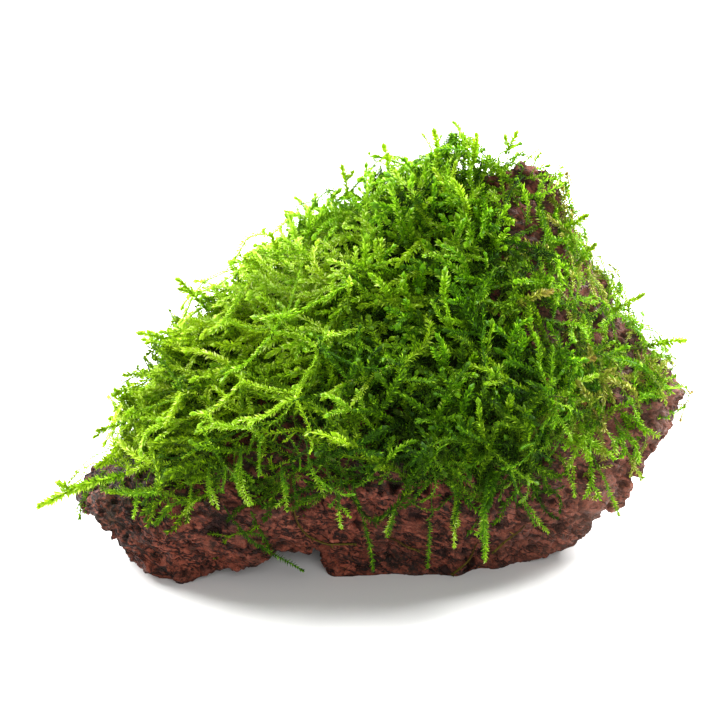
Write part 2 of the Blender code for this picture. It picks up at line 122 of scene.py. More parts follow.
# A trailer hangs from the hem over the rock, and starts within a reach of bare rock. A straggler
# creeps over the bare rock within a reach of the cushion, which is longer on the right shoulder.
TRAILERS = dict(pieces=1, count=135, apart=2.2, length=(12, 26), points=12, size=(0.55, 0.85),
                foot=(0.1, 0.3), tip=(0.4, 1.4), fresh=(0.0, 0.0), shoots=1, gap=0.2, bud=2.1)
STRAGGLERS = dict(pieces=1, count=340, apart=2.2, length=(9, 19), points=10, size=(0.85, 1.2),
                  foot=(0.25, 0.5), tip=(0.4, 0.95), fresh=(0.1, 0.1), shoots=2, gap=0.18,
                  bud=1.4)
TRAILER_REACH = 17.0
STRAGGLER_REACH = 6.0
SHOULDER_REACH = 20.0

# Side shoots: their length, how many points their lines have, and how far they may stand out
SHOOT_LENGTH = (3.0, 8.0)
SHOOT_POINTS = 5
SHOOT_LIMIT = 2.5

# How many places are tried for each branch that a layer wants
TRIES = 12

# How far out of the cushion's skin a branch may end, and one that stands proud does end
PROUD = (0.4, 2.0)
PROUD_TIPS = (1.5, 4.6)

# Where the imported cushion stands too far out, or not far enough: the middle of the place, its
# radius, and how much deeper the branches end at its middle
SUNK = (((-14.0, 16.0, 82.0), 18.0, 4.6), ((-63.0, -4.0, 36.0), 14.0, 4.5),
        ((9.0, 14.0, 93.0), 15.0, -1.8))

# Painted light and new growth: branches are lighter where the moss faces the light, up and to the
# left
LIT_WAY = Vector((-0.65, 0.3, 0.7))

# Leaves, all round a branch. A half width is a share of the length.
LEAF_LENGTH = 1.2 * MM
LEAF_ANGLE = math.radians(60)
LEAF_HALF_WIDTH = 0.13
STEM_RADIUS = 0.17 * MM
STEM_STEP = 1.8 * MM

# Single fronds and creeping stems: how many points their lines have, the gaps between their leaves,
# the length of their buds, the hanging fronds that are clumps of several, and those that are dull.
# Standing fronds spring from the core.
FROND_POINTS = 11
BUNCH_POINTS = 9
HANGING_GAP = 0.18
STANDING_GAP = 0.11
WIRE_GAP = 2.6
WIRE_RADIUS = 0.3 * MM
FROND_BUD = 1.6
CLUMPS = ("04", "13")
DULL = ("05",)
CORE = np.array([5.0, 0.0, 30.0]) * MM

# How near branches come to the floor, and the furthest that they reach to the front
FLOOR_GAP = 1.3 * MM
FRONT_END = -45.4 * MM


def progress(value, first, last):
    """How far a value has come from one limit to another, as a share from 0 to 1."""
    return min(1.0, max(0.0, (value - first) / (last - first)))


# Node trees

class Signal:
    """What flows through a node tree. Arithmetic on signals adds Math nodes."""

    def __init__(self, work, socket):
        self.work = work
        self.socket = socket

    def __add__(self, other):
        return self.work.math("ADD", self, other)

    def __radd__(self, other):
        return self.work.math("ADD", other, self)

    def __sub__(self, other):
        return self.work.math("SUBTRACT", self, other)

    def __rsub__(self, other):
        return self.work.math("SUBTRACT", other, self)

    def __mul__(self, other):
        return self.work.math("MULTIPLY", self, other)

    def __rmul__(self, other):
        return self.work.math("MULTIPLY", other, self)

    def __mod__(self, other):
        return self.work.math("MODULO", self, other)


class NodeWork:
    """Builds a node tree. One method adds any node, with its settings and its inputs."""

    def __init__(self, tree):
        self.tree = tree
        self.inlet = None

    def add(self, kind, inputs=None, take=0, stops=None, **settings):
        """Adds a node, fills its sockets, and gives the output that is asked for."""
        node = self.tree.nodes.new(kind)
        for name, value in settings.items():
            setattr(node, name, value)
        if stops:
            ramp = node.color_ramp
            while len(ramp.elements) < len(stops):
                ramp.elements.new(0.5)
            for element, (place, color) in zip(ramp.elements, stops):
                element.position = place
                element.color = (*color, 1.0)
        for name, value in (inputs or {}).items():
            socket = self.socket(node.inputs, name)
            for one in value if isinstance(value, list) else [value]:
                if isinstance(one, Signal):
                    self.tree.links.new(one.socket, socket)
                else:
                    socket.default_value = one
        return None if take is None else Signal(self, self.socket(node.outputs, take))

    def surface(self, shader):
        """Ends a material's tree."""
        self.add("ShaderNodeOutputMaterial", {"Surface": shader}, take=None)

    def given(self, name, kind):
        """Adds a named input to a Geometry Nodes tree."""
        self.tree.interface.new_socket(name, in_out="INPUT", socket_type=kind)
        if not self.inlet:
            self.inlet = self.tree.nodes.new("NodeGroupInput")
        return Signal(self, self.inlet.outputs[name])

    def named(self, name, data_type="FLOAT"):
        """An attribute of the geometry, by name."""
        return self.add("GeometryNodeInputNamedAttribute", {"Name": name}, take="Attribute",
                        data_type=data_type)

    def chance(self, low, high, seed):
        """A random number between two limits for each point."""
        return self.add("FunctionNodeRandomValue", {"Min": low, "Max": high, "Seed": seed},
                        take="Value")

    def shaded(self, geometry, shade, domain="POINT"):
        """Geometry whose light is raised or lowered by a shade."""
        return self.add("GeometryNodeStoreNamedAttribute", {
            "Geometry": geometry, "Name": "shade", "Value": shade}, data_type="FLOAT",
            domain=domain)

    def socket(self, sockets, name):
        """The socket in use that has a name, or a number among those in use."""
        used = [socket for socket in sockets if socket.enabled]
        if isinstance(name, int):
            return used[name]
        return next(socket for socket in used if socket.name == name)

    def math(self, operation, first, second=0.0):
        """A Math node."""
        return self.add("ShaderNodeMath", {0: first, 1: second}, operation=operation)

    def wave(self, operation, value):
        """A Math node of one value, such as a sine."""
        return self.add("ShaderNodeMath", {0: value}, operation=operation)

    def vector(self, operation, first, second):
        """A Vector Math node of two vectors."""
        return self.add("ShaderNodeVectorMath", {0: first, 1: second}, operation=operation)

    def along(self, direction, share):
        """A vector times a number."""
        return self.add("ShaderNodeVectorMath", {"Vector": direction, "Scale": share},
                        operation="SCALE")

    def unit(self, direction):
        """A vector brought to length one."""
        return self.add("ShaderNodeVectorMath", {"Vector": direction}, operation="NORMALIZE")

    def part(self, whole, axis):
        """One of a vector's three numbers."""
        return self.add("ShaderNodeSeparateXYZ", {"Vector": whole}, take=axis)

    def span(self, value, low, high, start=0.0, end=1.0):
        """A value's place between two limits, as a share from start to end."""
        return self.add("ShaderNodeMapRange", {"Value": value, "From Min": low, "From Max": high,
                                               "To Min": start, "To Max": end})

    def blend(self, share, first, second):
        """Two colours mixed."""
        return self.add("ShaderNodeMix", {"Factor": share, "A": first, "B": second},
                        data_type="RGBA")


# Materials

def color(red, green, blue):
    """A colour with its alpha, for a socket."""
    return (red, green, blue, 1.0)


def new_material(name):
    """An empty node material, and the work on its tree."""
    made = bpy.data.materials.new(name)
    made.use_nodes = True
    made.node_tree.nodes.clear()
    return made, NodeWork(made.node_tree)


def grain(work, place, size, detail=3.0, roughness=0.6):
    """Noise whose grains are about a size in millimetres."""
    return work.add("ShaderNodeTexNoise", {"Vector": place, "Scale": 1.0 / (size * MM),
                                           "Detail": detail, "Roughness": roughness}, take="Fac")


def rock_material():
    """Reddish lava rock: painted shade in its pores, hollows and cracks, specked, filmed with algae
    near the moss, and damp, with painted light on its right side.
    """
    made, work = new_material("lava_rock")
    place = work.add("ShaderNodeTexCoord", take="Object")
    hollow = work.add("ShaderNodeAttribute", attribute_name="hollow", take="Fac")
    algae = work.add("ShaderNodeAttribute", attribute_name="algae", take="Fac")
    broad = grain(work, place, 22.0)
    patch = grain(work, place, 6.0, 4.0)
    fine = grain(work, place, 1.5, 5.0, 0.7)
    dust = grain(work, place, 0.4, 2.0)

    # Streaks follow the layers, which dip towards the left
    x, y, z = (work.part(place, axis) for axis in "XYZ")
    laid = work.add("ShaderNodeCombineXYZ", {"X": x * 0.35, "Y": y * 0.35, "Z": z + x * 0.34})
    streak = grain(work, laid, 1.5, 4.0, 0.65)

    # Pits and thin wavy cracks too small for the mesh, darkened with painted shade inside them
    stir = work.add("ShaderNodeTexNoise", {"Vector": place, "Scale": 500.0}, take="Color")
    swirl = work.vector("ADD", place, work.along(stir, 0.9 * MM))
    cell = work.add("ShaderNodeTexVoronoi", {"Vector": swirl, "Scale": 1.0 / (1.25 * MM)},
                    take="Distance")
    pitted_area = patch + work.span(x, -0.035, -0.06) * 0.1
    pits = work.span(cell, 0.36, 0.2) * work.span(pitted_area, 0.43, 0.52)
    wavy = work.vector("ADD", laid, work.along(stir, 0.5 * MM))
    crack = work.span(work.wave("ABSOLUTE", grain(work, wavy, 2.0, 2.0) - 0.5), 0.045, 0.015)
    cracks = crack * work.span(pitted_area, 0.4, 0.5)
    dark = work.math("MAXIMUM", pits, cracks)

    body = work.blend(work.span(broad, 0.35, 0.65), color(0.16, 0.034, 0.017),
                      color(0.095, 0.024, 0.013))
    stained = grain(work, place, 8.0, 5.0) + work.span(x, -0.04, -0.065) * 0.17
    stain = work.span(stained, 0.53, 0.62) * work.span(fine, 0.6, 0.45)
    film = work.span(algae + (patch - 0.5) * 1.6 + (fine - 0.5) * 1.2, 0.6, 1.1)
    for share, paint in (
            (work.span(patch, 0.45, 0.72) * 0.7, (0.2, 0.05, 0.028)),
            (work.span(streak, 0.52, 0.68) * 0.6, (0.24, 0.075, 0.046)),
            (work.span(streak, 0.48, 0.36) * 0.85, (0.022, 0.008, 0.005)),
            (work.span(fine, 0.56, 0.7) * 0.6, (0.29, 0.11, 0.072)),
            (work.span(fine, 0.48, 0.38) * 0.85, (0.014, 0.006, 0.004)),
            (work.span(dust, 0.57, 0.64) * 0.7, (0.01, 0.006, 0.005)),
            # Painted shade inside the pits and cracks
            (dark * 0.92, (0.006, 0.003, 0.002)),
            # Painted shade in the hollows
            (work.span(hollow, 0.12, 0.7) * 0.9, (0.012, 0.005, 0.004)),
            (stain * 0.85, (0.01, 0.006, 0.003)),
            # Painted light on the right side of the rock, which faces the right lamp
            (work.span(x, 0.025, 0.06) * 0.2, (0.34, 0.17, 0.12)),
            (film * 0.8, (0.016, 0.015, 0.005))):
        body = work.blend(share, body, color(*paint))
    damp = work.span(grain(work, place, 9.0), 0.42, 0.6)
    height = fine * 0.5 + streak * 0.35 + dust * 0.2 - dark * 0.8
    bump = work.add("ShaderNodeBump", {"Height": height, "Strength": 1.0, "Distance": 0.7 * MM},
                    take="Normal")
    shader = work.add("ShaderNodeBsdfPrincipled", {
        "Base Color": body, "Roughness": work.span(damp, 0.0, 1.0, 0.8, 0.5), "Normal": bump,
        "Specular IOR Level": 0.16}, take="BSDF")
    work.surface(shader)
    return made


def mat_material():
    """The mat of old moss, painted nearly black green as the shade deep in the cushion, with brown
    dead leaves.
    """
    made, work = new_material("old_moss_and_shade")
    place = work.add("ShaderNodeTexCoord", take="Object")
    fine = grain(work, place, 0.8, 4.0, 0.7)
    body = work.add("ShaderNodeValToRGB", {"Fac": fine}, take="Color", stops=[
        (0.36, (0.003, 0.005, 0.001)), (0.55, (0.01, 0.022, 0.002)), (0.7, (0.03, 0.045, 0.006))])
    bump = work.add("ShaderNodeBump", {"Height": fine, "Strength": 1.0, "Distance": 0.8 * MM},
                    take="Normal")
    shader = work.add("ShaderNodeBsdfPrincipled", {
        "Base Color": body, "Roughness": 0.9, "Specular IOR Level": 0.1, "Normal": bump},
        take="BSDF")
    work.surface(shader)
    return made


def leaf_material():
    """Moss leaves: from dark old green to bright yellow green, glossy and let through by light.

    The attribute blade holds two numbers: the branch's hue, from brown through olive and green to
    yellow green, and its light, partly painted light and shade: from old leaves in painted shade to
    lit young tips, whose palest colours are painted glints.
    """
    made, work = new_material("moss_leaf")
    blade = work.add("ShaderNodeAttribute", attribute_name="blade", take="Vector")
    hue = work.part(blade, "X")
    light = work.part(blade, "Y")
    brown, olive, green, yellow = (
        work.add("ShaderNodeValToRGB", {"Fac": light * 0.82}, take="Color",
                 stops=list(zip((0.0, 0.29, 0.58, 0.82, 1.0), shades)))
        for shades in (
            ((0.012, 0.006, 0.002), (0.07, 0.032, 0.008), (0.26, 0.13, 0.025), (0.5, 0.33, 0.08),
             (0.7, 0.56, 0.2)),
            ((0.012, 0.012, 0.001), (0.06, 0.07, 0.006), (0.21, 0.25, 0.018), (0.48, 0.5, 0.07),
             (0.68, 0.72, 0.22)),
            ((0.003, 0.01, 0.001), (0.03, 0.1, 0.001), (0.14, 0.37, 0.003), (0.37, 0.65, 0.022),
             (0.58, 0.8, 0.15)),
            ((0.01, 0.022, 0.001), (0.11, 0.22, 0.002), (0.37, 0.58, 0.008), (0.64, 0.81, 0.09),
             (0.8, 0.9, 0.3))))
    body = work.blend(work.span(hue, 0.5, 0.95), green, yellow)
    body = work.blend(work.span(hue, 0.38, 0.2), body, olive)
    body = work.blend(work.span(hue, 0.14, 0.0), body, brown)
    shader = work.add("ShaderNodeBsdfPrincipled", {
        "Base Color": body, "Roughness": work.span(light, 0.15, 0.7, 0.7, 0.36),
        "Specular IOR Level": 0.14}, take="BSDF")
    glow = work.add("ShaderNodeBsdfTranslucent", {"Color": body}, take="BSDF")
    work.surface(work.add("ShaderNodeMixShader", {"Fac": 0.5, 1: shader, 2: glow}))
    return made


# Objects and meshes

def new_object(name, data):
    """An object in the scene."""
    obj = bpy.data.objects.new(name, data)
    bpy.context.scene.collection.objects.link(obj)
    return obj


def store(mesh, name, values):
    """Adds an attribute to a mesh's points: a number for each, or a vector."""
    kind, part = ("FLOAT_VECTOR", "vector") if np.ndim(values) == 2 else ("FLOAT", "value")
    flat = np.array(values, np.float32).ravel()
    mesh.attributes.new(name, kind, "POINT").data.foreach_set(part, flat)


def apply_modifiers(obj):
    """Gives an object the mesh that its modifiers make."""
    evaluated = obj.evaluated_get(bpy.context.evaluated_depsgraph_get())
    mesh = bpy.data.meshes.new_from_object(evaluated)
    obj.modifiers.clear()
    obj.data = mesh


def with_modifier(obj, kind, **settings):
    """Applies one modifier to an object."""
    modifier = obj.modifiers.new(kind, kind)
    for name, value in settings.items():
        setattr(modifier, name, value)
    apply_modifiers(obj)


def merged_copy(node, name):
    """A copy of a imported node's mesh, with its loose triangles joined."""
    form = bmesh.new()
    form.from_mesh(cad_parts[node].data)
    bmesh.ops.remove_doubles(form, verts=form.verts, dist=0.001 * MM)
    mesh = bpy.data.meshes.new(name)
    form.to_mesh(mesh)
    form.free()
    return new_object(name, mesh)


def evened_copy(node, name, voxel, times):
    """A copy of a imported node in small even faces, with its edges rounded."""
    obj = merged_copy(node, name)
    with_modifier(obj, "REMESH", mode="VOXEL", voxel_size=voxel)
    with_modifier(obj, "SMOOTH", iterations=times, factor=0.5)
    return obj


def search_tree(obj):
    """A search tree over an object's faces."""
    form = bmesh.new()
    form.from_mesh(obj.data)
    tree = BVHTree.FromBMesh(form)
    form.free()
    return tree


def vertex_arrays(mesh):
    """A mesh's points and normals, as arrays."""
    count = len(mesh.vertices)
    places = np.empty(count * 3, np.float32)
    normals = np.empty(count * 3, np.float32)
    mesh.vertices.foreach_get("co", places)
    mesh.vertices.foreach_get("normal", normals)
    return places.reshape(-1, 3).astype(float), normals.reshape(-1, 3).astype(float)


def paint_all(obj, look):
    """Gives a smooth object its one material."""
    obj.data.shade_smooth()
    obj.data.materials.clear()
    obj.data.materials.append(look)


# Leaves, and the tree that clothes lines in them

def small_shape(name, places, faces):
    """A leaf or bud to be repeated: its attribute spot says how far across and along a point is."""
    mesh = bpy.data.meshes.new(name)
    mesh.from_pydata(places, [], faces)
    store(mesh, "spot", [(x, y, 0.0) for x, y, z in places])
    return new_object(name, mesh)


def fine_leaf():
    """A pointed leaf, one long along Y, cupped at its midrib and bent down at its tip."""
    half = LEAF_HALF_WIDTH
    places = [(0, 0, 0), (half, 0.34, 0.1), (0, 0.42, 0.02), (-half, 0.34, 0.1), (0, 1, -0.1)]
    return small_shape("fine_leaf", places, [(0, 1, 2), (0, 2, 3), (1, 4, 2), (2, 4, 3)])


def plain_leaf():
    """The same leaf with two faces, for the layers that have most of the leaves."""
    half = LEAF_HALF_WIDTH * 1.15
    places = [(0, 0, 0), (half, 0.56, 0.08), (0, 1, -0.05), (-half, 0.56, 0.08)]
    return small_shape("plain_leaf", places, [(0, 1, 2), (0, 2, 3)])


def tip_bud():
    """The closed leaves at a branch's tip: a blunt form with five points around its thick part."""
    rim = [(0.26 * math.cos(a), 0.34, 0.22 * math.sin(a))
           for a in (2 * math.pi * k / 5 for k in range(5))]
    places = [(0, -0.4, 0), *rim, (0, 0.7, -0.06)]
    faces = []
    for k in range(5):
        after = (k + 1) % 5
        faces.append((0, 1 + k, 1 + after))
        faces.append((6, 1 + after, 1 + k))
    return small_shape("tip_bud", places, faces)


def leafy_tree():
    """The Geometry Nodes tree that clothes lines in stems, leaves and tip buds."""
    tree = bpy.data.node_groups.new("Leafy Branches", "GeometryNodeTree")
    work = NodeWork(tree)
    lines = work.given("Lines", "NodeSocketGeometry")
    leaf = work.given("Leaf", "NodeSocketObject")
    bud = work.given("Bud", "NodeSocketObject")
    gap = work.given("Leaf Gap", "NodeSocketFloat")
    length = work.given("Leaf Length", "NodeSocketFloat")
    angle = work.given("Leaf Angle", "NodeSocketFloat")
    bud_length = work.given("Bud Length", "NodeSocketFloat")
    radius = work.given("Stem Radius", "NodeSocketFloat")
    step = work.given("Stem Step", "NodeSocketFloat")
    seed = work.given("Seed", "NodeSocketInt")
    look = work.given("Look", "NodeSocketMaterial")
    tree.interface.new_socket("Moss", in_out="OUTPUT", socket_type="NodeSocketGeometry")

    curve = work.add("GeometryNodeMeshToCurve", {"Mesh": lines})
    size = work.named("size")
    heading = work.unit(work.named("heading", "FLOAT_VECTOR"))
    side = work.unit(work.vector("CROSS_PRODUCT", heading, work.named("facing", "FLOAT_VECTOR")))
    above = work.vector("CROSS_PRODUCT", side, heading)

    # Leaves stand left and right by turns, every other pair higher, and close at the tip
    points = work.add("GeometryNodeCurveToPoints", {"Curve": curve, "Length": gap}, mode="LENGTH")
    # Painted highlights: about one leaf in seven is lighter, as a glint; the others are lighter or
    # darker at random
    glint = work.math("GREATER_THAN", work.chance(0.0, 1.0, seed + 6), 0.86)
    points = work.shaded(points, work.chance(-0.2, 0.14, seed + 5) + glint * 0.32)
    number = work.add("GeometryNodeInputIndex")
    hand = (number % 2) * 2 - 1
    upper = work.math("GREATER_THAN", number % 4, 1.5)
    roll = upper * 0.9 + work.chance(-0.75, 0.5, seed)
    outward = work.vector("ADD", work.along(side, hand * work.wave("COSINE", roll)),
                          work.along(above, work.wave("SINE", roll)))
    closing = work.span(work.named("along"), 0.8, 1.0, 1.0, 0.5)
    opening = (angle - upper * 0.12) * closing + work.chance(-0.2, 0.2, seed + 1)
    pointing = work.vector("ADD", work.along(heading, work.wave("COSINE", opening)),
                           work.along(outward, work.wave("SINE", opening)))
    upward = work.vector("ADD", above, work.along(outward, work.chance(-0.8, 0.2, seed + 2)))
    turn = work.add("FunctionNodeAxesToRotation", {"Primary Axis": pointing,
                                                   "Secondary Axis": upward},
                    primary_axis="Y", secondary_axis="Z")
    leaves = work.add("GeometryNodeInstanceOnPoints", {
        "Points": points, "Instance": work.add("GeometryNodeObjectInfo", {"Object": leaf},
                                               take="Geometry"),
        "Rotation": turn, "Scale": size * length * work.chance(0.75, 1.15, seed + 3)})

    # Buds sit on the lines' last points
    bud_turn = work.add("FunctionNodeAxesToRotation", {
        "Primary Axis": heading, "Secondary Axis": above}, primary_axis="Y", secondary_axis="Z")
    buds = work.add("GeometryNodeInstanceOnPoints", {
        "Points": lines, "Selection": work.math("GREATER_THAN", work.named("along"), 0.999),
        "Instance": work.add("GeometryNodeObjectInfo", {"Object": bud}, take="Geometry"),
        "Rotation": bud_turn, "Scale": size * bud_length * work.chance(0.75, 1.2, seed + 4)})
    buds = work.shaded(buds, -0.02, "INSTANCE")

    # Stems are thin three-sided tubes, paler than the leaves on them
    stem = work.add("GeometryNodeResampleCurve", {"Curve": curve, "Length": step}, mode="LENGTH")
    ring = work.add("GeometryNodeCurvePrimitiveCircle", {"Resolution": 3, "Radius": 1.0})
    stems = work.add("GeometryNodeCurveToMesh", {"Curve": stem, "Profile Curve": ring,
                                                 "Scale": work.math("MAXIMUM", size, 0.7) * radius,
                                                 "Fill Caps": True})
    stems = work.shaded(stems, 0.16)

    moss = work.add("GeometryNodeJoinGeometry", {"Geometry": [leaves, buds, stems]})
    moss = work.add("GeometryNodeRealizeInstances", {"Geometry": moss})
    # Painted shade and highlight: each leaf is darker at its base, where the leaves overlap, and
    # lighter at its tip
    spot = work.named("spot", "FLOAT_VECTOR")
    hue = work.named("hue") + work.part(spot, "X") * 0.08
    light = work.named("light") * (work.part(spot, "Y") * 0.55 + 0.7) + work.named("shade")
    blade = work.add("ShaderNodeCombineXYZ", {"X": hue, "Y": light})
    moss = work.add("GeometryNodeStoreNamedAttribute", {
        "Geometry": moss, "Name": "blade", "Value": blade}, data_type="FLOAT_VECTOR")
    moss = work.add("GeometryNodeStoreNamedAttribute", {
        "Geometry": moss, "Name": "OFBake", "Value": blade}, data_type="FLOAT2", domain="CORNER")
    moss = work.add("GeometryNodeSetMaterial", {"Geometry": moss, "Material": look})
    work.add("NodeGroupOutput", {"Moss": moss}, take=None)
    return tree


def branch_mesh(name, branches):
    """The branches' lines as one mesh, with what the tree reads at each of its points."""
    places, edges = [], []
    notes = {"along": [], "size": [], "hue": [], "light": [], "heading": [], "facing": []}
    for branch in branches:
        points = branch.points
        foot, tip = branch.light
        edges.extend((k, k + 1) for k in range(len(places), len(places) + len(points) - 1))
        places.extend(points)
        notes["along"].extend(by_share(points, (0, 1), (0, 1)))
        notes["size"].extend(by_share(points, (0, 0.6, 1), (branch.bare, 1, 1.1)) * branch.size)
        notes["hue"].extend(by_share(points, (0, 1), branch.hue))
        notes["light"].extend(by_share(points, (0, 0.5, 1), (foot, 0.3 * foot + 0.7 * tip, tip)))
        notes["heading"].extend(np.gradient(points, axis=0))
        notes["facing"].extend([branch.facing] * len(points))
    mesh = bpy.data.meshes.new(name)
    mesh.from_pydata([tuple(place) for place in places], edges, [])
    for attribute, values in notes.items():
        store(mesh, attribute, values)
    return mesh


class Foliage:
    """Clothes branches in stems, leaves and buds. Every piece gets ten seeds of its own."""

    def __init__(self):
        self.tree = leafy_tree()
        self.look = leaf_material()
        self.fine = fine_leaf()
        self.plain = plain_leaf()
        self.bud = tip_bud()
        self.seed = 0

    def clothe(self, name, branches, leaf, gap, bud_length, radius=STEM_RADIUS):
        """Turns branches into one mesh."""
        self.seed += 10
        obj = new_object(name, branch_mesh(name, branches))
        modifier = obj.modifiers.new("Leafy Branches", "NODES")
        modifier.node_group = self.tree
        values = {"Leaf": leaf, "Bud": self.bud, "Leaf Gap": gap * MM, "Leaf Length": LEAF_LENGTH,
                  "Leaf Angle": LEAF_ANGLE, "Bud Length": bud_length * MM, "Stem Radius": radius,
                  "Stem Step": STEM_STEP, "Seed": self.seed, "Look": self.look}
        for socket in self.tree.interface.items_tree:
            if socket.name in values:
                modifier[socket.identifier] = values[socket.name]
        apply_modifiers(obj)
        obj.data.name = name
        for attribute in ("along", "size", "hue", "light", "shade", "heading", "facing", "spot"):
            if attribute in obj.data.attributes:
                obj.data.attributes.remove(obj.data.attributes[attribute])
        return obj

    def remove_shapes(self):
        """Takes the leaves and the bud out of the scene again."""
        for spare in (self.fine, self.plain, self.bud):
            bpy.data.objects.remove(spare, do_unlink=True)


# Rock, and the mat of old moss on it

def pore(point, size, depth, share):
    """How deep a point lies in round pores: cells of a size, a share of which hold one."""
    reach, seats = noise.voronoi(point / size)
    if noise.cell(seats[0] * 7.3) > share * 2 - 1:
        return 0.0
    wide = 0.34 + 0.22 * noise.cell(seats[0] * 3.1)
    return depth * max(0.0, 1.0 - (reach[0] / wide) ** 2) ** 0.5


def rock_skin(point, normal):
    """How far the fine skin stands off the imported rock, and how deep its hollows are."""
    slope = 1.0 - 0.7 * abs(normal.z)
    wave = noise.noise(point / 15.0)
    layer = (point.z * 0.95 + point.x * 0.32 + 5.0 * wave) / LAYER
    ledge = LEDGE * (layer % 1.0 - 0.5) * slope * (0.5 + 0.6 * noise.noise(point / 11.0))
    crag = CRAG * (abs(noise.noise(point / CRAG_WIDTH)) * 2.0 - 0.4)
    rough = ROUGH * noise.noise(point / ROUGH_WIDTH)

    # The small pores' cells are shifted, so that they don't follow the wide ones
    warp = point + 1.1 * noise.noise_vector(point / 1.9)
    pores = pore(warp, **WIDE_PORES) + pore(warp + Vector((9, 4, 2)), **SMALL_PORES)

    # Cracks run along the layers, where the stone is weak
    laid = Vector((warp.x * 0.4, warp.y * 0.4, warp.z + warp.x * 0.3)) / CRACK_GAP
    weak = min(1.0, max(0.0, 3.0 * noise.noise(point / 6.0) + 0.4))
    pores += CRACK * weak * slope * max(0.0, 1.0 - abs(noise.noise(laid)) / 0.16)
    return ledge + crag + rough - pores, pores - 0.6 * crag - 0.6 * rough


def make_rock(look, cushion):
    """The fine rock, pitted and ledged, flat where it stands."""
    rock = evened_copy("lava_rock", "lava_rock_fine", ROCK_VOXEL, ROCK_EVENING)
    places, normals = vertex_arrays(rock.data)
    hollows, films = [], []
    for number, (place, normal) in enumerate(zip(places, normals)):
        point = Vector(place / MM)
        out, hollow = rock_skin(point, Vector(normal))
        places[number] += normal * out * progress(point.z, 0.0, FOOT_FADE) * MM
        near = cushion.find_nearest(point * MM)[3] / MM
        # The depth of the hollows, which the material darkens as painted shade
        hollows.append(hollow * 0.5)
        films.append(max(0.0, 1.0 - near / ALGAE_REACH))
    places[:, 2] = np.where(places[:, 2] < FOOT_FLAT * MM, 0.0, places[:, 2])
    rock.data.vertices.foreach_set("co", places.astype(np.float32).ravel())
    store(rock.data, "hollow", hollows)
    store(rock.data, "algae", films)
    with_modifier(rock, "DECIMATE", ratio=ROCK_KEPT)
    paint_all(rock, look)
    return rock


def make_mat(cushion, look):
    """The mat of old moss: it lies on the rock, a few millimetres under the cushion's skin.

    Also gives a search tree over the rock's bare places.
    """
    mat = evened_copy("lava_rock", "moss_mat", MAT_VOXEL, MAT_EVENING)
    places, normals = vertex_arrays(mat.data)
    heights = np.full(len(places), -MAT_DEPTH)
    for number, (place, normal) in enumerate(zip(places, normals)):
        outward = Vector(normal)
        hit, facing, _, _ = cushion.ray_cast(Vector(place), outward, MAT_REACH * MM)
        while hit and facing.dot(outward) < 0:
            hit, facing, _, _ = cushion.ray_cast(hit + outward * 0.01 * MM, outward,
                                                 MAT_REACH * MM)
        if hit:
            thick = (hit - Vector(place)).length / MM
            heights[number] = max(thick - MAT_DEPTH, min(thick - MAT_COVER, MAT_LEAST))
    bare = KDTree(len(places))
    for number in np.flatnonzero(heights <= -MAT_DEPTH):
        bare.insert(places[number], number)
    bare.balance()
    for number, place in enumerate(places):
        heights[number] -= MAT_THINNING * hem_share(place, bare)
    form = bmesh.new()
    form.from_mesh(mat.data)
    form.verts.ensure_lookup_table()
    for turn in range(MAT_EVENING):
        heights = np.array([
            0.4 * heights[vertex.index] + 0.6 * np.mean([heights[edge.other_vert(vertex).index]
                                                         for edge in vertex.link_edges])
            for vertex in form.verts])
    for vertex, place, normal, height in zip(form.verts, places, normals, heights):
        point = Vector(place / MM)
        rough = 1.3 * noise.noise(point / 3.0) + 0.7 * noise.noise(point / 1.3)
        vertex.co = Vector(place + normal * (min(height, MAT_MOST) + rough - 0.6) * MM)
    spare = [vertex for vertex in form.verts if heights[vertex.index] < MAT_END]
    bmesh.ops.delete(form, geom=spare, context="VERTS")
    form.to_mesh(mat.data)
    form.free()
    paint_all(mat, look)
    return mat, bare


# Branches

class Land:
    """What the branches grow on, to be searched: the rock, the cushion's skin, and bare places."""

    def __init__(self, rock, cushion, bare):
        self.rock = rock
        self.cushion = cushion
        self.bare = bare


class Branch:
    """A line of points in metres, the way its flat side faces, its size, hue and light.

    Hue and light are given at the foot and at the tip. Bare is how big the leaves are at its foot.
    """

    def __init__(self, points, facing, size, hue, light, bare=0.6):
        self.points = points
        self.facing = facing
        self.size = size
        self.hue = hue
        self.light = light
        self.bare = bare


def unit(arrow):
    """An arrow brought to length one."""
    return arrow / max(1e-9, np.linalg.norm(arrow))


def any_way(rng):
    """An arrow of length one that points anywhere."""
    return unit(rng.normal(size=3))


def bent(start, start_way, end_way, end, count):
    """Points of a cubic curve, from its ends and the arrows that lead out of and into them."""
    t = np.linspace(0.0, 1.0, count)[:, None]
    s = 1.0 - t
    return (s ** 3 * start + 3 * s * s * t * (start + start_way)
            + 3 * s * t * t * (end - end_way) + t ** 3 * end)


def by_share(points, shares, values):
    """A value for each point of a line, from the values at some shares of the line."""
    return np.interp(np.linspace(0.0, 1.0, len(points)), shares, values)


def eased(points):
    """A line with its bends rounded and its ends as they were."""
    points[1:-1] = 0.5 * points[1:-1] + 0.25 * (points[:-2] + points[2:])
    return points


def in_bounds(points):
    """Keeps points above the floor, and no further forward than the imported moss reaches."""
    points[:, 1] = np.maximum(points[:, 1], FRONT_END)
    points[:, 2] = np.maximum(points[:, 2], FLOOR_GAP)
    return points


def held_off(points, ground, distance):
    """Lifts the points that lie in the ground, or nearer to it than a distance."""
    for number, point in enumerate(points):
        spot, normal, _, far = ground.find_nearest(Vector(point))
        inside = (Vector(point) - spot).dot(normal) < 0
        if inside or far < distance:
            points[number] = spot + normal * distance
    return in_bounds(points)


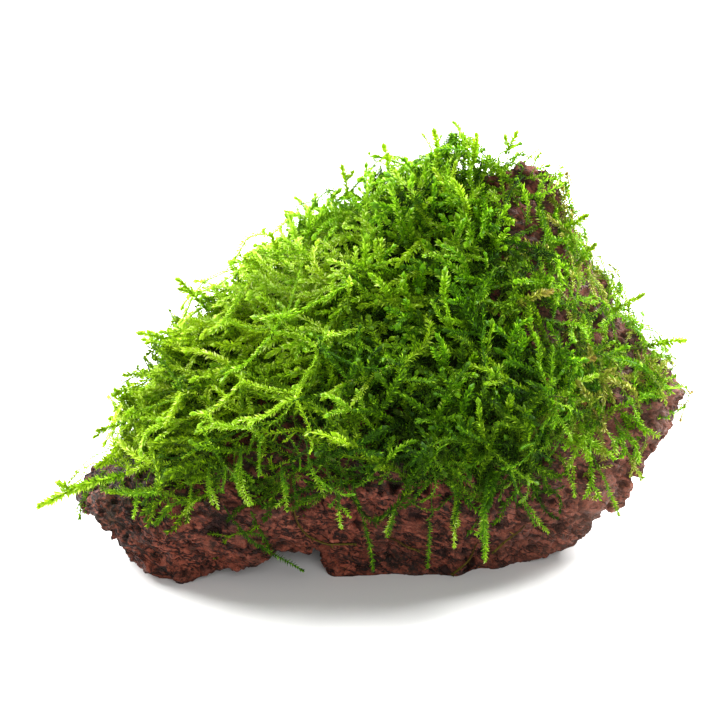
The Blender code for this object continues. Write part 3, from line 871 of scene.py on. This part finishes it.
def kept_under(points, skin, limits):
    """Brings back the points that stand further out of a skin than their limits, in metres."""
    for number, limit in enumerate(np.broadcast_to(limits, len(points))):
        spot, normal, _, far = skin.find_nearest(Vector(points[number]))
        out = (Vector(points[number]) - spot) / max(far, 1e-9)
        side = 1.0 if out.dot(normal) > 0 else -1.0
        if far * side > limit:
            points[number] = spot + out * (side * limit)
    return in_bounds(points)


def hem_share(place, bare):
    """How near a place is to the bare rock: 1 at the moss's edge, 0 where the moss is whole.

    The thin stretch is wider at the front, over the hollow under the rock.
    """
    x, y, _ = np.array(place) / MM
    gap = progress(x, HEM_GAP_FROM, HEM_GAP_FROM + HEM_GAP_FADE)
    gap *= progress(x, HEM_GAP_TO, HEM_GAP_TO - HEM_GAP_FADE)
    far = bare.find(place)[2] / MM
    wide = HEM_WIDTH + HEM_GAP_WIDTH * (gap if y < 0 else 0.0)
    return min(1.0, max(0.0, 1.35 - (far - 1.5) / wide))


def laid_along(points, cushion, foot, tip):
    """Lays a line along the cushion's skin, its foot deeper in than its tip."""
    for number, depth in enumerate(by_share(points, (0, 0.35, 1), (foot, tip + 0.4, tip))):
        spot, normal, _, _ = cushion.find_nearest(Vector(points[number]))
        points[number] = 0.2 * points[number] + 0.8 * np.array(spot - normal * depth * MM)
    return eased(eased(points))


def spread(mesh, weigh, count, apart, rng):
    """Places spread over a mesh where it has weight, some way apart, with its direction there."""
    faces, weights = [], []
    for polygon in mesh.polygons:
        weight = weigh(polygon)
        if weight > 0.0:
            faces.append(polygon)
            weights.append(weight * polygon.area)
    picks = rng.choice(len(faces), size=count * TRIES, p=np.array(weights) / sum(weights))
    samples, cells = [], {}
    for pick in picks:
        a, b, c = (np.array(mesh.vertices[i].co) for i in faces[pick].vertices[:3])
        u, v = rng.random(2)
        if u + v > 1.0:
            u, v = 1.0 - u, 1.0 - v
        place = a + (b - a) * u + (c - a) * v
        cell = tuple((place / apart).astype(int))
        around = [other for dx in (-1, 0, 1) for dy in (-1, 0, 1) for dz in (-1, 0, 1)
                  for other in cells.get((cell[0] + dx, cell[1] + dy, cell[2] + dz), ())]
        if any(np.linalg.norm(place - other) < apart for other in around):
            continue
        cells.setdefault(cell, []).append(place)
        samples.append((place, np.array(faces[pick].normal)))
        if len(samples) == count:
            break
    return samples


def lean_at(place, normal):
    """Which way the moss leans there: out to the ends, up on top, and down at the hem."""
    x, _, z = place / MM
    left = progress(x, 12.0, -48.0)
    right = progress(x, 25.0, 65.0)
    front = max(0.0, -normal[1])
    top = max(0.0, normal[2])
    low = progress(z, 52.0, 27.0)
    return np.array([0.7 * right - 1.1 * left - 0.25 * front, -0.2 * front,
                     0.8 * top * (1 - left) + front * (0.3 - 0.95 * low) * (1 - 0.5 * left)])


def hue_at(place, normal, rng):
    """The branch's hue: yellow green at the left and on top, olive and brown at the right."""
    x, _, z = place / MM
    left = progress(x, 5.0, -55.0)
    right = progress(x, 36.0, 52.0) * progress(z, 20.0, 45.0)
    top = max(0.0, normal[2])
    patch = noise.noise(Vector(place / MM) / 13.0)
    hue = 0.52 + 0.32 * left + 0.14 * top * (1 - right) + 0.16 * patch + rng.normal() * 0.1
    if rng.random() < 0.75 * right:
        hue = rng.uniform(0.26, 0.5)
        return (hue, hue - rng.uniform(0.0, 0.32))
    return (hue, hue)


def sunk_at(place):
    """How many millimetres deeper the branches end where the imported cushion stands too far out."""
    return sum(deep * max(0.0, 1.0 - (np.linalg.norm(place / MM - middle) / reach) ** 2)
               for middle, reach, deep in SUNK)


def light_at(place, normal, layer, share, rng):
    """A branch's light at its foot and its tip, partly painted: painted light where the moss faces
    the light and on top behind, painted shade low down, and more at the right and in new growth.

    A share of 1 takes the lightest tip that the layer has, and 0 the darkest.
    """
    x, y, z = place / MM
    # Painted light, with new growth: lighter where the moss faces the light, on top behind, at the
    # upper left and at the left end
    fresh = progress(Vector(normal).dot(LIT_WAY), 0.42, 0.82)
    right = progress(x, 35.0, 55.0)
    high = progress(z, 30.0, 74.0)
    behind = progress(y, 4.0, 14.0)
    upper_left = progress(x, -2.0, -16.0) * progress(z, 44.0, 64.0)
    left_end = progress(x, -46.0, -58.0) * progress(z, 15.0, 25.0)
    fresh = max(fresh * (1 - 0.35 * progress(x, 0.0, 15.0)), 0.45 * high * behind,
                1.2 * upper_left, 0.85 * left_end)
    foot = rng.uniform(*layer["foot"]) + fresh * layer["fresh"][0]
    # Painted shade: tips are darker low down, unless they face the light
    tip = np.interp(share, (0, 1), layer["tip"]) * (0.44 + 0.56 * max(high, fresh))
    tip = min(0.9 + 0.1 * upper_left, tip + fresh * layer["fresh"][1] + 0.46 * right)
    return (foot + 0.22 * right, tip)


def moss_branch(place, normal, layer, land, rng):
    """A branch of the cushion: it leaves the mat, arches over and ends near the skin."""
    length = rng.uniform(*layer["length"]) * MM
    lean = lean_at(place, normal) + 0.65 * any_way(rng)
    lean -= normal * lean.dot(normal)
    x, _, z = place / MM
    left = progress(x, 12.0, -48.0)
    left_end = progress(x, -32.0, -46.0)
    height = progress(z, 52.0, 77.0)
    lying = rng.random() < layer["lying"] * (1 - 0.6 * height)
    rise = 0.0 if lying else rng.uniform(0.1, 0.7) + 1.1 * max(0.0, normal[2]) * (1 - 0.8 * left)
    way = unit(unit(lean) + normal * rise)
    sunk = sunk_at(place)
    # Painted shade: the deeper a branch's tip lies in the cushion, the darker it is; those that stand
    # proud are lighter
    inward = rng.random()
    share = 0.65 * (1.0 - inward) + 0.35 * rng.random()
    depth = np.interp(inward, (0, 1), layer["depth"]) + sunk
    proud = rng.uniform(*PROUD) - sunk
    if rng.random() < layer["proud"] * (1 + 1.4 * height + 1.4 * left_end) and not lying:
        proud = rng.uniform(*PROUD_TIPS) - (0.7 * sunk if sunk > 0 else sunk)
        depth = -proud
        share = rng.uniform(0.6, 1.0)
    end = place - normal * depth * MM
    start = end - way * length * 0.85 - normal * rng.uniform(1.0, 3.5) * MM
    first_way = unit(normal * 0.8 + way * 0.6 + 0.5 * any_way(rng)) * length * 0.36
    hook = normal * rng.uniform(-0.5, 0.25) + np.array([0, 0, rng.uniform(-0.5, 0.1)])
    last_way = unit(way + 0.55 * any_way(rng) + hook) * length * 0.38
    points = bent(start, first_way, last_way, end, layer["points"])
    if lying:
        points = laid_along(points, land.cushion, depth + 3.5, depth)
    limits = by_share(points, (0, 0.45, 1), (-2.5, 0, proud)) * MM
    points = eased(kept_under(points, land.cushion, limits))
    points = held_off(points, land.rock, 0.5 * MM)
    facing = unit(normal + 0.45 * any_way(rng) + np.array([0, 0, 0.2]))
    return Branch(points, facing, rng.uniform(*layer["size"]), hue_at(place, normal, rng),
                  light_at(place, normal, layer, share, rng), bare=0.7)


def trailer(place, normal, layer, land, rng):
    """A long thin branch that leaves the hem and trails down over the rock, to either side."""
    length = rng.uniform(*layer["length"]) * MM
    out = unit(np.array([normal[0], normal[1], 0.0]))
    across = np.array([-out[1], out[0], 0.0]) * rng.uniform(-1.8, 1.8)
    way = unit(across - np.array([0.0, 0.0, 1.0]) + 0.1 * out)
    start = place - normal * 2.5 * MM - way * length * 0.5
    end = start + way * length + out * rng.uniform(-2.0, 0.5) * MM
    first_way = unit(way + 0.5 * out + 0.5 * any_way(rng)) * length * 0.36
    last_way = unit(way + 1.1 * any_way(rng)) * length * 0.4
    points = bent(start, first_way, last_way, end, layer["points"])
    limits = by_share(points, (0, 0.4, 0.6), (-2.5, -0.5, 30)) * MM
    points = kept_under(points, land.cushion, limits)
    points = held_off(points, land.rock, rng.uniform(0.5, 2.5) * MM)
    hue = rng.uniform(0.26, 0.7)
    return Branch(points, unit(out + 0.4 * any_way(rng)), rng.uniform(*layer["size"]), (hue, hue),
                  light_at(place, normal, layer, rng.random(), rng), bare=0.6)


def straggler(place, normal, layer, land, rng):
    """A short branch that creeps over bare rock."""
    length = rng.uniform(*layer["length"]) * MM
    lean = lean_at(place, normal) + 0.9 * any_way(rng)
    way = unit(lean - normal * lean.dot(normal))
    end = place + way * length + normal * rng.uniform(0.4, 2.2) * MM
    last_way = unit(way + 0.6 * any_way(rng) + 0.2 * normal) * length * 0.33
    start = place + normal * 0.3 * MM
    points = bent(start, (way + 0.3 * normal) * length * 0.33, last_way, end, layer["points"])
    x, _, z = place / MM
    peak = progress(z, 74.0, 84.0) * (x < 38)
    shoulder = progress(x, 56.0, 62.0) * progress(z, 42.0, 48.0)
    limit = rng.uniform(0.8, 2.2) * (1 + 1.4 * peak + shoulder) * MM
    points = kept_under(points, land.rock, limit)
    points = held_off(points, land.rock, 0.6 * MM)
    return Branch(points, unit(normal + 0.3 * any_way(rng)), rng.uniform(*layer["size"]),
                  hue_at(place, normal, rng), light_at(place, normal, layer, rng.random(), rng),
                  bare=0.8)


def side_shoots(branch, rng, length, most):
    """Short shoots that leave a branch to its left and right, in its own plane."""
    shoots = []
    count = len(branch.points)
    hand = rng.choice((-1, 1))
    for number in range(rng.integers(0, most + 1)):
        share = rng.uniform(0.3, 0.85)
        at = int(share * (count - 1))
        hand = -hand
        start = branch.points[at]
        ahead = unit(branch.points[at + 1] - start)
        side = unit(np.cross(ahead, branch.facing)) * hand
        way = unit(ahead + side * rng.uniform(0.6, 1.2) + 0.2 * any_way(rng))
        reach = rng.uniform(*length) * MM
        end = start + way * reach
        last_way = unit(way + 0.5 * ahead) * reach * 0.3
        points = in_bounds(bent(start, way * reach * 0.3, last_way, end, SHOOT_POINTS))
        light = (np.interp(share, (0, 1), branch.light), branch.light[1])
        shoots.append(Branch(points, branch.facing, branch.size * 0.9, branch.hue, light))
    return shoots


def outer_skin(polygon, layer, land):
    """How much of a layer grows from the cushion's outer skin: less towards the hem."""
    spot = land.rock.find_nearest(polygon.center)[0]
    outer = (polygon.center - spot).dot(polygon.normal) > 0.0
    return 1.0 - layer["hem"] * hem_share(polygon.center, land.bare) if outer else 0.0


def hem_skin(polygon, layer, land):
    """How many trailers grow from the cushion's skin: those near bare rock, where it is low."""
    low = polygon.normal.z < 0.5 and polygon.center.z < 50 * MM and polygon.center.x > -50 * MM
    near = max(0.0, 1.0 - land.bare.find(polygon.center)[2] / (TRAILER_REACH * MM))
    return outer_skin(polygon, STRANDS, land) * near if low else 0.0


def bare_rock(polygon, layer, land):
    """How many stragglers grow on the rock: most on the peak and the right shoulder, few behind."""
    spot, normal, _, far = land.cushion.find_nearest(polygon.center)
    inside = (polygon.center - spot).dot(normal) < 0.0
    x, _, z = polygon.center / MM
    if inside or land.bare.find(polygon.center)[2] > 2 * MM or z < (22 if x < -40 else 16):
        return 0.0
    shoulder = x > 20 and z > 32 and polygon.normal.z > -0.1
    reach = SHOULDER_REACH if shoulder else STRAGGLER_REACH

    # Behind are faces at the right that the camera hardly sees
    behind = x > 36 and 0.93 * polygon.normal.y - 0.36 * polygon.normal.z > -0.4
    crest = x > 38 and z > 82 or x > 70
    peak = z > 64 and x < 60
    share = 0.1 if behind or crest else 2.8 if peak else 1.8 if shoulder else 0.4
    return share * max(0.0, 1.0 - far / MM / reach)


def layer_branches(layer, form, weigh, grow, land, rng):
    """The branches of a layer and their side shoots, in a list for each of its pieces."""
    branches = []
    for place, normal in spread(form.data, lambda polygon: weigh(polygon, layer, land),
                                layer["count"], layer["apart"] * MM, rng):
        branches.append(grow(place, normal, layer, land, rng))
        shoots = side_shoots(branches[-1], rng, SHOOT_LENGTH, layer["shoots"])
        for shoot in shoots if grow is not trailer else ():
            skin = land.cushion if grow is moss_branch else land.rock
            shoot.points = kept_under(shoot.points, skin, SHOOT_LIMIT * MM)
        branches.extend(shoots)
    shares = np.array_split(np.arange(len(branches)), layer["pieces"])
    return [[branches[number] for number in share] for share in shares]


# Single fronds and stems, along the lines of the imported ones

def line_of(node):
    """The middle line of a packed frond or stem, found by walking along its skin."""
    form = bmesh.new()
    form.from_mesh(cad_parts[node].data)
    bmesh.ops.remove_doubles(form, verts=form.verts, dist=0.001 * MM)
    form.verts.ensure_lookup_table()
    far = 0
    for turn in range(2):
        reached = {far: 0.0}
        queue = [(0.0, far)]
        while queue:
            walked, index = heapq.heappop(queue)
            if walked > reached[index]:
                continue
            for edge in form.verts[index].link_edges:
                other = edge.other_vert(form.verts[index]).index
                total = walked + edge.calc_length()
                if total < reached.get(other, math.inf):
                    reached[other] = total
                    heapq.heappush(queue, (total, other))
        far = max(reached, key=reached.get)
    whole = reached[far]
    count = max(4, min(12, len(reached) // 5))
    bands = [[] for _ in range(count)]
    for index, walked in reached.items():
        bands[min(count - 1, int(walked / whole * count))].append(form.verts[index].co)
    middles = [np.mean(band, axis=0) for band in bands[1:-1] if band]
    first = min(reached, key=reached.get)
    line = np.array([form.verts[first].co, *middles, form.verts[far].co])
    form.free()
    return line


def even(line, count):
    """The same line with evenly spaced points."""
    steps = np.linalg.norm(np.diff(line, axis=0), axis=1)
    walked = np.concatenate([[0.0], np.cumsum(steps)])
    shares = np.linspace(0.0, walked[-1], count)
    return np.stack([np.interp(shares, walked, line[:, axis]) for axis in range(3)], axis=1)


def frond_lines(prefix, rooted_high):
    """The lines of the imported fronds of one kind, from root to tip."""
    lines = {}
    for node in sorted(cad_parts):
        if node.startswith(prefix):
            line = even(line_of(node), FROND_POINTS)
            first, last = line[0], line[-1]
            turned = (first[2] < last[2] if rooted_high
                      else np.linalg.norm(first - CORE) > np.linalg.norm(last - CORE))
            lines[node] = line[::-1] if turned else line
    return lines


def bunch(line, count, rng):
    """Shorter lines beside a line, from the same root."""
    others = []
    for number in range(count):
        share = rng.uniform(0.6, 0.95)
        drift = any_way(rng) * rng.uniform(1.0, 2.6) * MM
        part = even(line[:max(3, int(len(line) * share))], BUNCH_POINTS)
        others.append(part + by_share(part, (0, 1), (0, 1))[:, None] * drift)
    return others


def hanging_branches(ground, rng):
    """The fronds that hang over the rock. Clumps have more branches, and dull ones less light."""
    branches = []
    for node, line in frond_lines("frond_hanging", True).items():
        more = 4 if node[-2:] in CLUMPS else rng.integers(0, 2)
        for one in [line, *bunch(line, more, rng)]:
            bright = 0.0 if node[-2:] in DULL else rng.uniform(0.2, 1.0)
            branch = Branch(held_off(one, ground, 0.7 * MM), np.array([0, -1.0, 0.2]),
                            rng.uniform(0.8, 1.0), bare=0.3,
                            hue=(0.35 + 0.3 * bright, 0.4 + 0.4 * bright),
                            light=(0.1 + 0.2 * bright, 0.45 + 0.55 * bright))
            branches.append(branch)
            if rng.random() < 0.35:
                branches.extend(side_shoots(branch, rng, (2.5, 5.0), 1))
    return branches


def standing_branches(rng):
    """The fronds that stand clear of the cushion. The first is the broadest."""
    branches = []
    for node, line in frond_lines("frond_standing", False).items():
        line[:, 2] = np.maximum(line[:, 2], FLOOR_GAP)
        size = 1.7 if node.endswith("01") else rng.uniform(1.15, 1.4)
        branch = Branch(line, np.array([0, -1.0, 0.3]), size, hue=(0.6, 0.9),
                        light=(0.45, rng.uniform(0.6, 0.8)), bare=0.8)
        branches.append(branch)
        branches.extend(side_shoots(branch, rng, (2.0, 3.5), 1))
    return branches


def creeping_branches():
    """The dark, nearly bare stems that creep over the rock."""
    return [Branch(line, np.array([0, -1.0, 0.2]), 1.0, hue=(0.02, 0.08), light=(0.2, 0.45),
                   bare=0.9)
            for line in frond_lines("stem_creeping", True).values()]


# The scene

def make_stage():
    """A plain pale floor."""
    mesh = bpy.data.meshes.new("floor")
    reach = 1.5
    mesh.from_pydata([(-reach, -reach, 0), (reach, -reach, 0), (reach, reach, 0),
                      (-reach, reach, 0)], [], [(0, 1, 2, 3)])
    floor = new_object("floor", mesh)
    look, work = new_material("floor")
    work.surface(work.add("ShaderNodeBsdfPrincipled", {
        "Base Color": color(0.82, 0.82, 0.81), "Roughness": 0.9}, take="BSDF"))
    mesh.materials.append(look)


def add_light(name, place, size, power):
    """A soft square light that shines at the object."""
    light = bpy.data.lights.new(name, "AREA")
    light.shape = "SQUARE"
    light.size = size
    light.energy = power
    obj = new_object(name, light)
    obj.location = place
    obj.rotation_euler = (Vector((0, 0, 0.05)) - obj.location).to_track_quat("-Z", "Y").to_euler()


def make_lights():
    """Soft studio light: one above and behind at either side, and a weak fill from the front."""
    world = bpy.data.worlds.new("studio")
    world.use_nodes = True
    world.node_tree.nodes["Background"].inputs["Color"].default_value = color(1, 1, 1)
    world.node_tree.nodes["Background"].inputs["Strength"].default_value = 0.34
    bpy.context.scene.world = world
    add_light("key", (-0.46, 0.28, 0.5), 0.5, 22.0)
    add_light("right", (0.45, 0.3, 0.5), 0.4, 22.0)
    add_light("fill", (0.1, -0.8, 0.4), 0.5, 4.5)


def make_camera():
    """The camera, level with the photographer's view."""
    camera = bpy.data.cameras.new("camera")
    camera.lens = CAMERA_LENS
    camera.sensor_width = 36.0
    obj = new_object("camera", camera)
    away = Vector((0, -math.cos(CAMERA_ELEVATION), math.sin(CAMERA_ELEVATION)))
    obj.location = CAMERA_AIM + away * CAMERA_DISTANCE
    obj.rotation_euler = (-away).to_track_quat("-Z", "Y").to_euler()
    bpy.context.scene.camera = obj


def dress(piece, nodes):
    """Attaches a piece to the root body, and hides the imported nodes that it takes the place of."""
    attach(piece, "root")
    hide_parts(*nodes)


def main():
    """Builds the pieces, then the stage, the lights and the camera."""
    rng = np.random.default_rng(SEED)
    noise.seed_set(SEED)
    cushion_form = merged_copy("moss_cushion", "cushion_form")
    cushion = search_tree(cushion_form)
    rock = make_rock(rock_material(), cushion)
    mat, bare = make_mat(cushion, mat_material())
    dress(rock, ["lava_rock"])
    dress(mat, ["moss_cushion"])
    land = Land(search_tree(rock), cushion, bare)
    foliage = Foliage()
    for name, layer, form, weigh, grow, leaf in (
            ("moss_strands", STRANDS, cushion_form, outer_skin, moss_branch, foliage.plain),
            ("moss_middle", MIDDLE, cushion_form, outer_skin, moss_branch, foliage.plain),
            ("moss_inner", INNER, cushion_form, outer_skin, moss_branch, foliage.plain),
            ("moss_trailers", TRAILERS, cushion_form, hem_skin, trailer, foliage.fine),
            ("moss_stragglers", STRAGGLERS, rock, bare_rock, straggler, foliage.plain)):
        for number, branches in enumerate(layer_branches(layer, form, weigh, grow, land, rng), 1):
            piece = foliage.clothe(f"{name}_{number}", branches, leaf, layer["gap"], layer["bud"])
            dress(piece, ["moss_cushion"])
    hanging = hanging_branches(land.rock, rng)
    standing = standing_branches(rng)
    for name, branches, prefix, gap, radius, slot in (
            ("hanging_fronds", hanging, "frond_hanging", HANGING_GAP, STEM_RADIUS, "frond"),
            ("standing_fronds", standing, "frond_standing", STANDING_GAP, STEM_RADIUS, "frond"),
            ("creeping_stems", creeping_branches(), "stem_creeping", WIRE_GAP, WIRE_RADIUS,
             "stem")):
        piece = foliage.clothe(name, branches, foliage.fine, gap, FROND_BUD, radius)
        dress(piece, [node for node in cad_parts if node.startswith(prefix)])
    foliage.remove_shapes()
    bpy.data.objects.remove(cushion_form, do_unlink=True)
    make_stage()
    make_lights()
    make_camera()


main()
view = bpy.context.scene.view_settings
view.view_transform = "Standard"
